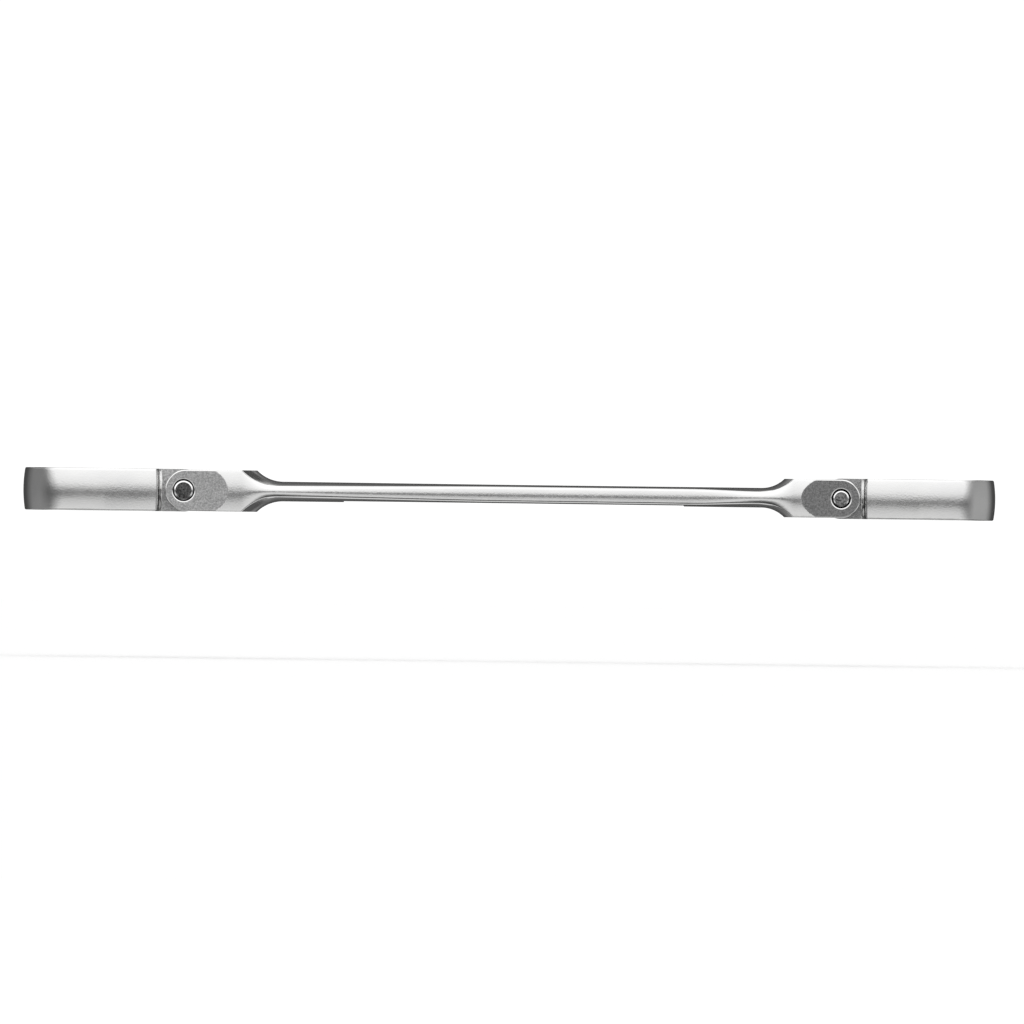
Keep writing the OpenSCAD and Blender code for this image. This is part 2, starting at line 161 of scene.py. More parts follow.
class End(SimpleNamespace):
    """One end of the wrench. Places and most sizes come from the frame; the rest repeat the design's."""

    def __init__(self, name, turn, **sizes):
        super().__init__(name=name, turn=turn, **sizes)
        pin_lo, pin_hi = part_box(f"pivot_pin_{name}")
        head_lo, head_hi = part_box(f"head_{name}")
        gear_lo, gear_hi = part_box(f"ratchet_gear_{name}")
        self.pin_x = (pin_lo.x + pin_hi.x) / 2 / MM
        self.pin_r = (pin_hi.z - pin_lo.z) / 2 / MM
        self.fork_w = (pin_hi.y - pin_lo.y) / MM + 2 * PIN_SINK
        self.head_t = (head_hi.z - head_lo.z) / MM
        self.ring_r = (head_hi.y - head_lo.y) / 2 / MM
        tip_x = (head_lo.x if turn > 0 else head_hi.x) / MM
        self.reach = abs(self.pin_x - tip_x)
        self.ring_x = self.ring_r - self.reach
        self.gear_r = (gear_hi.y - gear_lo.y) / 2 / MM
        self.scoop_r = (self.fork_t - NECK_T) / 2 / (1 - math.cos(FLARE))
        self.scoop_end = self.block + self.scoop_r * math.sin(FLARE)
        self.lip_z = LIP_T - self.head_t / 2
        self.washer_z = self.head_t / 2 - TOP_STACK + GEAR_FLOAT
        self.clip_z = self.washer_z + WASHER_T + GEAR_FLOAT


LARGE = End(
    "large", 1, fork_t=9.46, tongue_w=6.6, block=16.7, bow=3.6, shoulder=5.75, bore_end=13.5,
    ear_set_back=0.5, neck_start=3.3, neck_length=22.3, fork_crown=0.35, edge_drop=1.0, edge_fade=50.0,
    pin_step=0.28, pin_chamfer=0.36,
)
SMALL = End(
    "small", -1, fork_t=8.8, tongue_w=6.2, block=12.9, bow=2.1, shoulder=5.45, bore_end=12.3,
    ear_set_back=0.0, neck_start=2.1, neck_length=18.4, fork_crown=0.44, edge_drop=0.9, edge_fade=14.0,
    pin_step=0.38, pin_chamfer=0.3,
)
ENDS = (LARGE, SMALL)
HALF_SPAN = (SMALL.pin_x - LARGE.pin_x) / 2


# ---------------------------------------------------------------- curves

def mix(a, b, t):
    return a + (b - a) * t


def ease(t):
    t = min(1.0, max(0.0, t))
    return t * t * (3 - 2 * t)


def bend(a, b, c, t):
    """A point on the curve that leaves a towards b and reaches c from b."""
    return a * (1 - t) ** 2 + b * 2 * t * (1 - t) + c * t * t


def sweep(a, b, c, d, t):
    """A point on the curve that leaves a towards b and reaches d from c."""
    return a * (1 - t) ** 3 + b * 3 * t * (1 - t) ** 2 + c * 3 * t * t * (1 - t) + d * t ** 3


def arc(x, y, radius, first, last, steps):
    """Points along an arc about (x, y), between two angles in degrees."""
    angles = [math.radians(first + (last - first) * i / steps) for i in range(steps + 1)]
    return [(x + radius * math.cos(a), y + radius * math.sin(a)) for a in angles]


# ---------------------------------------------------------------- mesh helpers

def add_object(name, mesh):
    piece = bpy.data.objects.new(name, mesh)
    bpy.context.scene.collection.objects.link(piece)
    return piece


def mesh_object(name, points, faces):
    """A mesh object from points in millimetres, with its faces turned outwards."""
    mesh = bpy.data.meshes.new(name)
    mesh.from_pydata([Vector(p) for p in points], [], faces)
    mesh.update()
    body = bmesh.new()
    body.from_mesh(mesh)
    bmesh.ops.recalc_face_normals(body, faces=body.faces)
    body.to_mesh(mesh)
    body.free()
    return add_object(name, mesh)


def strips(rings, closed=False):
    """Four-sided faces between each ring of points and the next, and from last to first if closed."""
    count = len(rings[0])
    faces = []
    for i in range(len(rings) if closed else len(rings) - 1):
        n = (i + 1) % len(rings)
        for j in range(count):
            k = (j + 1) % count
            faces.append([i * count + j, i * count + k, n * count + k, n * count + j])
    return faces


def loft(name, rings):
    """A closed skin over rings of points, with one flat face at each end."""
    count = len(rings[0])
    points = [p for ring in rings for p in ring]
    ends = [list(range(count)), [(len(rings) - 1) * count + j for j in range(count)]]
    return mesh_object(name, points, ends + strips(rings))


def lathe(name, profile, steps=128, start=0.0, angle=360.0):
    """A closed profile of (radius, height) turned about Z, all the way round or through part of a turn."""
    whole = angle >= 360.0
    rings = []
    for i in range(steps if whole else steps + 1):
        a = math.radians(start + angle * i / steps)
        rings.append([(r * math.cos(a), r * math.sin(a), z) for r, z in profile])
    if not whole:
        return loft(name, rings)
    piece = mesh_object(name, [p for ring in rings for p in ring], strips(rings, closed=True))
    weld(piece)
    return piece


def weld(piece):
    """Joins points that lie together and drops faces that this leaves with no area."""
    body = bmesh.new()
    body.from_mesh(piece.data)
    bmesh.ops.remove_doubles(body, verts=body.verts, dist=WELD)
    bmesh.ops.dissolve_degenerate(body, edges=body.edges, dist=WELD)
    bmesh.ops.recalc_face_normals(body, faces=body.faces)
    body.to_mesh(piece.data)
    body.free()


def block(name, low, high):
    (x0, y0, z0), (x1, y1, z1) = low, high
    rings = [[(x, y0, z0), (x, y1, z0), (x, y1, z1), (x, y0, z1)] for x in (x0, x1)]
    return loft(name, rings)


def bar(name, radius, length, axis, start=(0, 0, 0), steps=128):
    """A round bar whose first end is centred on start and that runs along axis."""
    piece = lathe(name, [(0, 0), (radius, 0), (radius, length), (0, length)], steps)
    turn = Vector((0, 0, 1)).rotation_difference(Vector(axis)).to_matrix().to_4x4()
    piece.data.transform(Matrix.Translation(Vector(start)) @ turn)
    return piece


def lay_along_y(piece):
    """Turns what lathe() made about Z so that it runs along Y."""
    piece.data.transform(Matrix.Rotation(math.pi / 2, 4, "X"))
    return piece


def cut(piece, *others):
    """Cuts the others away from piece and uses them up."""
    for other in others:
        modifier = piece.modifiers.new("cut", "BOOLEAN")
        modifier.operation = "DIFFERENCE"
        modifier.solver = "EXACT"
        modifier.object = other
        depsgraph = bpy.context.evaluated_depsgraph_get()
        made = bpy.data.meshes.new_from_object(piece.evaluated_get(depsgraph))
        piece.modifiers.clear()
        piece.data = made
        bpy.data.objects.remove(other)
    return piece


def end_frame(end):
    """The move from an end's frame to the row's, both in millimetres."""
    where = Matrix.Translation((end.pin_x, 0, 0))
    return where @ Matrix.Rotation(math.pi, 4, "Z") if end.turn < 0 else where


def at_end(piece, end):
    """Moves a cutter from an end's frame to the row's, still in millimetres."""
    piece.data.transform(end_frame(end))
    return piece


def at_ring(piece, end):
    """Moves a shape from the origin to the centre of the end's ring, still in the end's frame."""
    piece.data.transform(Matrix.Translation((end.ring_x, 0, 0)))
    return piece


def place(piece, end=None):
    """Moves a shape in millimetres from an end's frame, or from the row's, to the row's metres."""
    where = Matrix.Identity(4) if end is None else end_frame(end)
    piece.data.transform(Matrix.Scale(MM, 4) @ where)
    return piece


def finish_shading(piece, sharp_deg=32.0):
    """Merges flat neighbours, shades smooth between sharp edges and keeps the flats flat."""
    body = bmesh.new()
    body.from_mesh(piece.data)
    bmesh.ops.remove_doubles(body, verts=body.verts, dist=WELD_M)
    bmesh.ops.dissolve_limit(
        body,
        angle_limit=math.radians(FLAT_DEG),
        verts=body.verts,
        edges=body.edges,
        delimit={"MATERIAL"},
    )
    for face in body.faces:
        face.smooth = True
    for edge in body.edges:
        if len(edge.link_faces) == 2:
            edge.smooth = edge.calc_face_angle(0.0) < math.radians(sharp_deg)
    body.to_mesh(piece.data)
    body.free()
    weighted = piece.modifiers.new("even_normals", "WEIGHTED_NORMAL")
    weighted.keep_sharp = True
    weighted.weight = 60


def wear(piece, materials, choose=lambda centre, normal: 0):
    """Gives the piece its materials and picks one for each face by its centre (mm) and its normal."""
    piece.data.materials.clear()
    for material in materials:
        piece.data.materials.append(material)
    for face in piece.data.polygons:
        face.material_index = choose(face.center / MM, face.normal)


# ---------------------------------------------------------------- materials

class Graph:
    """A node tree under construction. Its sockets are fed other nodes' outputs or plain values."""

    def __init__(self, tree):
        self.nodes = tree.nodes
        self.links = tree.links

    def node(self, kind, **settings):
        made = self.nodes.new(kind)
        for key, value in settings.items():
            setattr(made, key, value)
        return made

    def feed(self, socket, value):
        if isinstance(value, bpy.types.NodeSocket):
            self.links.new(value, socket)
        else:
            socket.default_value = value

    def math(self, operation, *values):
        made = self.node("ShaderNodeMath", operation=operation)
        for socket, value in zip(made.inputs, values):
            self.feed(socket, value)
        return made.outputs[0]

    def mix(self, factor, a, b):
        """Mixes two colours or greys."""
        made = self.node("ShaderNodeMix", data_type="RGBA")
        for index, value in ((0, factor), (6, a), (7, b)):
            self.feed(made.inputs[index], value)
        return made.outputs[2]

    def ramp(self, value, stops):
        """Turns a value into a colour by (value, colour or grey) stops in rising order."""
        made = self.node("ShaderNodeValToRGB")
        elements = made.color_ramp.elements
        while len(elements) > 1:
            elements.remove(elements[-1])
        for i, (where, tone) in enumerate(stops):
            if i == 0:
                elements[0].position = where
            else:
                elements.new(where)
            elements[i].color = (*(tone if isinstance(tone, tuple) else (tone,) * 3), 1)
        self.feed(made.inputs["Fac"], value)
        return made.outputs["Color"]


class Look(Graph):
    """A metal under construction. Its plain colour and roughness stand on the shader's own sockets too."""

    def __init__(self, name, color, roughness):
        self.material = bpy.data.materials.new(name)
        self.material.use_nodes = True
        super().__init__(self.material.node_tree)
        self.shader = self.nodes["Principled BSDF"]
        self.shader.inputs["Base Color"].default_value = (*color, 1)
        self.shader.inputs["Metallic"].default_value = 1.0
        self.shader.inputs["Roughness"].default_value = roughness
        self.spot = self.node("ShaderNodeTexCoord").outputs["Object"]
        self.bump = None

    def mapped(self, scale, location=(0, 0, 0)):
        """The object's coordinates in millimetres, scaled along each axis and then moved."""
        mapping = self.node("ShaderNodeMapping")
        mapping.inputs["Scale"].default_value = [s / MM for s in scale]
        mapping.inputs["Location"].default_value = location
        self.feed(mapping.inputs["Vector"], self.spot)
        return mapping.outputs["Vector"]

    def noise(self, scale, detail=3.0, roughness=0.55):
        """Noise whose grain along each axis is one over scale, in millimetres."""
        noise = self.node("ShaderNodeTexNoise")
        noise.inputs["Scale"].default_value = 1.0
        noise.inputs["Detail"].default_value = detail
        noise.inputs["Roughness"].default_value = roughness
        self.feed(noise.inputs["Vector"], self.mapped(scale))
        return noise.outputs["Fac"]

    def vary(self, socket, value, low, high, spread=0.2):
        """Drives a shader socket between two greys or colours by a noise value about its middle."""
        self.feed(self.shader.inputs[socket], self.ramp(value, [(0.5 - spread, low), (0.5 + spread, high)]))

    def raise_by(self, height, distance):
        """Adds a bump whose height is distance millimetres, on top of any bump that is there."""
        bump = self.node("ShaderNodeBump")
        bump.inputs["Distance"].default_value = distance * MM
        bump.inputs["Strength"].default_value = 1.0
        self.feed(bump.inputs["Height"], height)
        if self.bump is not None:
            self.feed(bump.inputs["Normal"], self.bump)
        self.bump = bump.outputs["Normal"]
        self.feed(self.shader.inputs["Normal"], self.bump)


# Reflectance of the satin plate at a glancing angle, lowered as painted shade: faces seen edge-on mirror
# less and turn darker.
GLANCING_SHADE_TINT = 0.55


def satin_chrome(name, brush):
    """Satin chrome over a fine-linished forging: brush gives how finely it is scratched along each axis."""
    look = Look(name, (0.86, 0.86, 0.85), 0.2)
    cloud = look.noise((0.12, 0.2, 0.2), detail=4.0)
    scratches = look.noise(brush, detail=3.0, roughness=0.7)
    mist = look.noise((1.6, 1.6, 1.6), detail=2.0)
    # Painted shade: the low edge tint dims every glancing reflection.
    look.shader.inputs["Specular Tint"].default_value = (GLANCING_SHADE_TINT, GLANCING_SHADE_TINT, GLANCING_SHADE_TINT, 1)
    look.vary("Base Color", cloud, (0.84, 0.84, 0.84), (0.89, 0.888, 0.88))
    clear = [(0.3, 0.0), (0.7, 1.0)]
    streaks = look.mix(0.5, look.ramp(scratches, clear), look.ramp(mist, clear))
    look.vary("Roughness", streaks, 0.09, 0.15, spread=0.35)
    look.raise_by(scratches, 0.003)
    look.raise_by(look.noise((2.2, 2.2, 2.6), detail=2.0), 0.011)
    look.raise_by(look.noise((0.3, 0.3, 0.3), detail=1.0), 0.008)
    return look.material


def blasted_chrome(name, tone):
    """Matte plate over a bead-blasted face."""
    look = Look(name, (tone, tone, tone), 0.5)
    grain = look.noise((2.6, 2.6, 2.6), detail=4.0, roughness=0.75)
    pits = look.noise((2.2, 2.2, 2.2), detail=2.0)
    look.vary("Base Color", grain, tone * 0.62, tone * 1.45, spread=0.17)
    look.vary("Roughness", pits, 0.44, 0.58)
    look.raise_by(pits, 0.03)
    look.raise_by(grain, 0.035)
    return look.material


def machined_steel(name, tone, roughness, rings=None):
    """Turned or ground steel. rings is the (x, y) centre of its turning marks, in millimetres."""
    look = Look(name, (tone, tone, tone * 1.02), roughness)
    grain = look.noise((3.5, 3.5, 3.5), detail=3.0, roughness=0.6)
    look.vary("Base Color", grain, tone * 0.88, tone * 1.08)
    look.vary("Roughness", look.noise((1.1, 1.1, 1.1)), roughness * 0.85, roughness * 1.2)
    if rings is None:
        look.raise_by(grain, 0.006)
    else:
        wave = look.node("ShaderNodeTexWave", wave_type="RINGS", rings_direction="SPHERICAL")
        wave.inputs["Scale"].default_value = 2.2
        wave.inputs["Distortion"].default_value = 0.6
        look.feed(wave.inputs["Vector"], look.mapped((1, 1, 0), (-rings[0], -rings[1], 0)))
        look.raise_by(wave.outputs["Fac"], 0.004)
    return look.material


def rough_pin_face(name, tone):
    """The pin's end: dark hardened steel with a coarse parted face."""
    look = Look(name, (tone, tone, tone), 0.42)
    coarse = look.noise((1.9, 1.9, 1.9), detail=4.0, roughness=0.75)
    look.vary("Base Color", coarse, tone * 0.25, tone * 2.3, spread=0.14)
    look.vary("Roughness", look.noise((4.0, 4.0, 4.0)), 0.34, 0.52)
    look.raise_by(coarse, 0.08)
    return look.material


def black_phosphate(name):
    """Spring steel with a dark phosphate coat. The same dark, laid on the pins' noses and in their holes,
    is painted shade for the gaps round the pins.
    """
    look = Look(name, (0.07, 0.07, 0.075), 0.45)
    grain = look.noise((4.0, 4.0, 4.0), detail=3.0)
    look.vary("Base Color", grain, (0.05, 0.05, 0.055), (0.12, 0.12, 0.125))
    look.vary("Roughness", look.noise((1.3, 1.3, 1.3)), 0.38, 0.55)
    look.raise_by(grain, 0.015)
    return look.material


CHROME = satin_chrome("satin_chrome_long", (3.0, 0.6, 0.45))
HEAD_CHROME = satin_chrome("satin_chrome_head", (0.9, 0.9, 5.0))
# Blasted plate on the ears' flat faces; the small end's copy is darker as painted shade.
BLASTED_WITH_SHADE = {
    "large": blasted_chrome("blasted_large", 0.46),
    "small": blasted_chrome("blasted_shaded_small", 0.24),
}
# Blasted plate on the tongues and their fillets, toned down as painted shade for the recess between the
# ears; the small end's copy is darker still, also painted shade.
TONGUE_SHADED_CHROME = {
    "large": blasted_chrome("tongue_shaded_large", 0.5),
    "small": blasted_chrome("tongue_shaded_small", 0.36),
}
PIN_FACE = {
    "large": rough_pin_face("pin_face_large", 0.075),
    "small": rough_pin_face("pin_face_small", 0.17),
}
INNER_STEEL = machined_steel("inner_bore", 0.5, 0.4)
PIN_SIDE = machined_steel("pin_side", 0.98, 0.1)
BALL_STEEL = machined_steel("ball_steel", 0.75, 0.1)
WIRE_STEEL = machined_steel("wire_steel", 0.5, 0.3)
PAWL_STEEL = machined_steel("pawl_steel", 0.4, 0.32)
WASHER_STEEL = machined_steel("washer_steel", 0.6, 0.35)
# Phosphate black for the retaining rings, and painted shade in the gaps round the pins.
PHOSPHATE_AND_GAP_SHADE = black_phosphate("ring_steel")


# ---------------------------------------------------------------- handle

def ridge(end, s):
    """Half thickness at the ridge, s along the handle from the pin."""
    if s <= end.block:
        return end.fork_t / 2
    if s < end.scoop_end:
        return NECK_T / 2 + end.scoop_r - math.sqrt(end.scoop_r ** 2 - (end.scoop_end - s) ** 2)
    return mix(NECK_T, WAIST_T, ease((s - end.scoop_end) / (HALF_SPAN - end.scoop_end))) / 2


def drop(end, s):
    """How much lower the edges are than the ridge."""
    past_block = max(0.0, s - end.block)
    grown = ease(past_block / EDGE_DROP_LENGTH)
    faded = ease((past_block - EDGE_DROP_LENGTH) / end.edge_fade)
    return end.edge_drop * grown - (end.edge_drop - WAIST_DROP) * faded


def lag(end, s):
    """How far the edges lag behind the ridge, because the block's end is bowed."""
    grown = ease((s - end.block + BOW_LEAD) / BOW_LEAD)
    faded = ease((s - end.scoop_end) / BOW_FADE)
    return end.bow * grown * (1 - faded)


def half_width(end, x):
    past_start = x - end.neck_start
    narrow = mix(NECK_W, WAIST_W, ease(past_start / (HALF_SPAN - end.neck_start))) / 2
    return mix(end.fork_w / 2 + FORK_OVERCUT, narrow, ease(past_start / end.neck_length))


# Steps across the top of a quarter section, round its edge and down its side.
TOP_STEPS = 16
EDGE_STEPS = 6
SIDE_STEPS = 8

# How many edge radii short of the corner the top stops, and the length over which the edges grow rounder.
EDGE_REACH = 1.15
EDGE_GROWTH = 12


def section(end, s):
    """A quarter-symmetric cross section at s, with its four long edges rounded and its sides crowned."""
    corner_x = s - lag(end, s)
    corner_y = half_width(end, corner_x)
    corner_z = ridge(end, s) - drop(end, s)
    crown = mix(end.fork_crown, SHANK_CROWN, ease((corner_x - end.block) / end.neck_length))
    r = mix(NECK_EDGE_R, EDGE_R, ease((s - end.scoop_end) / EDGE_GROWTH))

    def side(z):
        return corner_y + crown * (1 - (z / corner_z) ** 2)

    quarter = []
    for i in range(TOP_STEPS + 1):
        v = i / TOP_STEPS * (1 - EDGE_REACH * r / corner_y)
        x = s - lag(end, s) * v * v
        quarter.append((x, v * half_width(end, x), ridge(end, s) - drop(end, s) * v * v))
    slope = 2 * drop(end, s) / corner_y
    low = corner_z - r
    for i in range(EDGE_STEPS + 1):
        t = i / EDGE_STEPS
        y = bend(corner_y - r, corner_y, side(low), t)
        quarter.append((corner_x, y, bend(corner_z + slope * r, corner_z, low, t)))
    for i in range(1, SIDE_STEPS + 1):
        z = low * (1 - i / SIDE_STEPS)
        quarter.append((corner_x, side(z), z))
    half = quarter + [(x, y, -z) for x, y, z in reversed(quarter[:-1])]
    return half + [(x, -y, z) for x, y, z in reversed(half[1:-1])]


def stations(end):
    """Places along one half of the handle where a cross section is drawn, closest by the ear's flat."""
    parts = [  # from, to, steps
        (-7.0, 3.0, 4),
        (3.0, 11.0, 32),
        (11.0, end.block, 10),
        (end.block, end.scoop_end, 24),
        (end.scoop_end, end.scoop_end + BOW_FADE, 26),
        (end.scoop_end + BOW_FADE, HALF_SPAN, 18),
    ]
    return [mix(low, high, i / count) for low, high, count in parts for i in range(count)] + [HALF_SPAN]


def handle_blank():
    rings = [[(LARGE.pin_x + x, y, z) for x, y, z in section(LARGE, s)] for s in stations(LARGE)]
    for s in reversed(stations(SMALL)[:-1]):
        rings.append([(SMALL.pin_x - x, y, z) for x, y, z in section(SMALL, s)])
    return loft("handle_forging", rings)


def ear_outline(end, inset, far):
    """The two ears' outline in X and Z: a round end about the pin, then straight to far."""
    r = end.fork_t / 2 - inset
    return arc(end.ear_set_back, 0, r, 90, 270, 64) + [(far, -r), (far, r)]


def ear_waste(end):
    """What is taken off the blank, out to the far end of its scoop, to leave flat ears with round ends."""
    half = end.fork_w / 2
    layers = [(-half, EAR_EDGE_R)]
    for i in range(5):
        a = math.radians(90 * (i + 0.5) / 5)
        layers.append((-half + EAR_EDGE_R * (1 - math.cos(a)), EAR_EDGE_R * (1 - math.sin(a))))
    layers += [(-y, inset) for y, inset in reversed(layers)]
    rings = [[(x, y, z) for x, z in ear_outline(end, inset, 25)] for y, inset in layers]
    return cut(block("waste", (-14, -15, -12), (22, 15, 12)), loft("keep", rings))


def chamfered_hole(name, radius, half, chamfer):
    """A cutter along Y for a hole whose mouths are chamfered at y = half either side."""
    mouth_r = radius + chamfer
    straight = half - chamfer * CHAMFER_SLOPE
    upper = [(radius, straight), (mouth_r, half), (mouth_r + PAST, half + PAST), (0, half + PAST)]
    return lay_along_y(lathe(name, [(r, -y) for r, y in reversed(upper)] + upper))


def slot_cutter(end):
    """The slot between the ears. Its mouth edges and its bottom corners are eased."""
    half = end.tongue_w / 2 + SLIDE_GAP
    top = end.fork_t / 2
    profile = [(-12, -half)] + arc(SLOT_DEPTH - SLOT_EDGE_R, SLOT_EDGE_R - half, SLOT_EDGE_R, -90, 0, 4)
    profile += [(x, -y) for x, y in reversed(profile)]
    bottom = SLOT_DEPTH - 2 * SLOT_EDGE_R

    def layer(z, grow):
        return [(x + (grow if x > bottom else 0), y + math.copysign(grow, y), z) for x, y in profile]

    mouth = [(top - SLOT_FLARE, 0), (top + PAST, SLOT_FLARE + PAST)]
    layers = [(-z, grow) for z, grow in reversed(mouth)] + mouth
    return loft("slot", [layer(z, grow) for z, grow in layers])


def panel_cutter():
    """The blank panel pressed into the lower face, with sloped ends."""
    middle = (LARGE.pin_x + SMALL.pin_x) / 2 + PANEL_SHIFT
    high, low = -WAIST_T / 2 + PANEL_DEPTH, -WAIST_T
    rings = []
    for side in (-1, 1):
        inner = middle + side * PANEL_LEN / 2
        outer = inner + side * PANEL_SLOPE
        corners = [(inner, -WAIST_W), (inner, WAIST_W), (outer, WAIST_W), (outer, -WAIST_W)]
        rings.append([(x, y, z) for (x, y), z in zip(corners, (high, high, low, low))])
    return loft("panel", rings)


def handle():
    piece = handle_blank()
    for end in ENDS:
        cut(
            piece,
            at_end(ear_waste(end), end),
            at_end(slot_cutter(end), end),
            at_end(chamfered_hole("hole", end.pin_r + PRESS_GAP, end.fork_w / 2, PIN_HOLE_CHAMFER), end),
            at_end(bar("ball_bore", BALL_BORE_R, end.bore_end, (1, 0, 0)), end),
        )
    cut(piece, panel_cutter())
    place(piece)

    def choose(centre, normal):
        # The margins take in the eased edges round each cut.
        end = LARGE if centre.x < 0 else SMALL
        x, y, z = (centre.x - end.pin_x) * end.turn, abs(centre.y), abs(centre.z)
        in_slot = x < SLOT_DEPTH + 0.4 and y < end.tongue_w / 2 + 0.4 and z < end.fork_t / 2 - 0.25
        in_ball_bore = x < end.bore_end + 0.1 and math.hypot(y, z) < BALL_BORE_R + 0.05
        # The ears' flat faces; the small end's take the darker copy, which is painted shade.
        if y > end.fork_w / 2 - 0.001 and abs(normal.y) > 0.999:
            return 1 if end is LARGE else 2
        if in_slot or in_ball_bore:
            return 3
        # The pin holes' walls are dark: painted shade for the gap round each pin.
        return 4 if math.hypot(x, z) < end.pin_r + PRESS_GAP + 0.02 else 0

    wear(piece, [CHROME, BLASTED_WITH_SHADE["large"], BLASTED_WITH_SHADE["small"], INNER_STEEL, PHOSPHATE_AND_GAP_SHADE], choose)
    finish_shading(piece)
    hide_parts("handle")
    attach(piece, "handle")


# ---------------------------------------------------------------- heads

def head_outline(end):
    """The head in plan about its ring's centre: points, each with its share of the wall's crown."""
    neck = math.radians(NECK_DEG)
    meet = math.radians(SHOULDER_DEG)
    tongue = end.tongue_w / 2
    x, y = -end.ring_x - end.shoulder, end.fork_w / 2 + SHOULDER_SPREAD
    leave = Vector((math.cos(meet), -math.sin(meet)))
    stop = Vector((x, y)) - leave * SHOULDER_EDGE_R
    start = Vector((end.ring_r * math.cos(neck), end.ring_r * math.sin(neck)))
    out = start + Vector((math.sin(neck), -math.cos(neck))) * NECK_OUT
    back = stop - leave * (NECK_IN - SHOULDER_EDGE_R)

    wall = arc(0, 0, end.ring_r, 180, NECK_DEG, 72)[:-1]
    wall += [sweep(start, out, back, stop, i / 24) for i in range(25)]
    wall += arc(x - SHOULDER_EDGE_R, y - SHOULDER_EDGE_R, SHOULDER_EDGE_R, 90 - SHOULDER_DEG, 0, 8)[1:]
    face = [(x, (tongue + SHOULDER_R + y) / 2)]
    tip = arc(x + SHOULDER_R, tongue + SHOULDER_R, SHOULDER_R, 180, 270, 8)
    tip.append((-end.ring_x + end.head_t / 2 + TIP_SPARE, tongue))
    half = [(Vector(p), share) for points, share in ((wall, 1.0), (face, 0.5), (tip, 0.0)) for p in points]
    return half + [(Vector((p.x, -p.y)), share) for p, share in reversed(half[1:])]


def inset_outline(outline, amount):
    """Moves each point inwards along the outline's normal by amount times its share."""
    moved = []
    for i, (p, share) in enumerate(outline):
        along = outline[(i + 1) % len(outline)][0] - outline[i - 1][0]
        normal = Vector((along.y, -along.x)).normalized()
        moved.append(p + normal * amount * share)
    return moved


def head_layers(end):
    """Height and inset of each layer of the crowned wall with rounded edges."""
    half = end.head_t / 2
    layers = []
    for i in range(5):
        a = math.radians(90 * i / 5)
        z = half - HEAD_EDGE_R * (1 - math.cos(a))
        layers.append((z, HEAD_CROWN * (z / half) ** 2 + HEAD_EDGE_R * (1 - math.sin(a))))
    for i in range(13):
        z = (half - HEAD_EDGE_R) * (1 - i / 12)
        layers.append((z, HEAD_CROWN * (z / half) ** 2))
    return layers + [(-z, inset) for z, inset in reversed(layers[:-1])]


def tongue_waste(end):
    """What is taken off to leave the tongue's round end about the pin."""
    r = end.head_t / 2
    keep = bar("keep", r, 30, (0, 1, 0), (0, -15, 0), 160)
    return cut(block("waste", (0, -10, -r - PAST), (r + 3, 10, r + PAST)), keep)


def gear_cavity(end):
    """Cutter for the gear, its washer and its retaining ring."""
    bore = end.gear_r + CAVITY_GAP
    hub = end.gear_r - BOSS_STEP + RUN_GAP
    top = end.head_t / 2
    low = end.clip_z - GEAR_FLOAT / 2
    high = end.clip_z + CLIP_T + GEAR_FLOAT / 2
    profile = [
        (0, -top - PAST),
        (hub + LIP_CHAMFER + PAST, -top - PAST),
        (hub, -top + LIP_CHAMFER),
        (hub, end.lip_z),
        (bore, end.lip_z),
        (bore, low),
        (bore + CLIP_DEPTH, low),
        (bore + CLIP_DEPTH, high),
        (bore, high),
        (bore, top - MOUTH_CHAMFER),
        (bore + MOUTH_CHAMFER + PAST, top + PAST),
        (0, top + PAST),
    ]
    return at_ring(lathe("cavity", profile, 192), end)


def pawl_room(end):
    """Cutters for the pawl's pocket, which opens into the gear's room, and for its spring's bore."""
    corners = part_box(f"pawl_{end.name}")
    far = max((corner.x / MM - end.pin_x) * end.turn for corner in corners) + PAWL_ROOM
    low, high = sorted(corner.y / MM * end.turn for corner in corners)
    middle_z = (corners[0].z + corners[1].z) / 2 / MM
    pocket = block("pocket", (end.ring_x + end.gear_r * 0.6, low - SLIDE_GAP, end.lip_z),
                   (far, high + SLIDE_GAP, end.washer_z))
    start = (far - PAST, (low + high) / 2, middle_z)
    return pocket, bar("spring_bore", SPRING_BORE_R, SPRING_BORE_LEN + PAST, (1, 0, 0), start, 64)


def head(end):
    outline = head_outline(end)
    rings = []
    for z, inset in head_layers(end):
        rings.append([(p.x + end.ring_x, p.y, z) for p in inset_outline(outline, inset)])
    piece = loft(f"head_{end.name}_forging", rings)
    pin_bore = chamfered_hole("bore", end.pin_r + RUN_GAP, end.tongue_w / 2, BORE_CHAMFER)
    cut(piece, tongue_waste(end), pin_bore, gear_cavity(end), *pawl_room(end))
    place(piece, end)

    def choose(centre, normal):
        x = (centre.x - end.pin_x) * end.turn
        # The tongue and its fillets take the blasted plate toned down as painted shade.
        if x > -end.shoulder + 0.9 and abs(normal.z) < 0.999:
            return 1
        from_ring = math.hypot(x - end.ring_x, centre.y)
        return 2 if from_ring < end.gear_r + CAVITY_GAP + 0.02 and abs(normal.z) < 0.5 else 0

    wear(piece, [HEAD_CHROME, TONGUE_SHADED_CHROME[end.name], INNER_STEEL], choose)
    finish_shading(piece)
    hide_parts(f"head_{end.name}")
    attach(piece, f"head_{end.name}")


# ---------------------------------------------------------------- pins, rings and springs

def rounded_profile(corners, radius, steps=4):
    """Rounds a (radius, height) profile's corners that are off the axis, never past a side's middle."""
    out = []
    for i, corner in enumerate(corners):
        here = Vector(corner)
        if here.x < 1e-6:
            out.append(tuple(here))
            continue
        back = Vector(corners[i - 1]) - here
        ahead = Vector(corners[(i + 1) % len(corners)]) - here
        reach = min(radius, back.length / 2.2, ahead.length / 2.2)
        a = here + back.normalized() * reach
        b = here + ahead.normalized() * reach
        out += [tuple(bend(a, here, b, k / steps)) for k in range(steps + 1)]
    return out


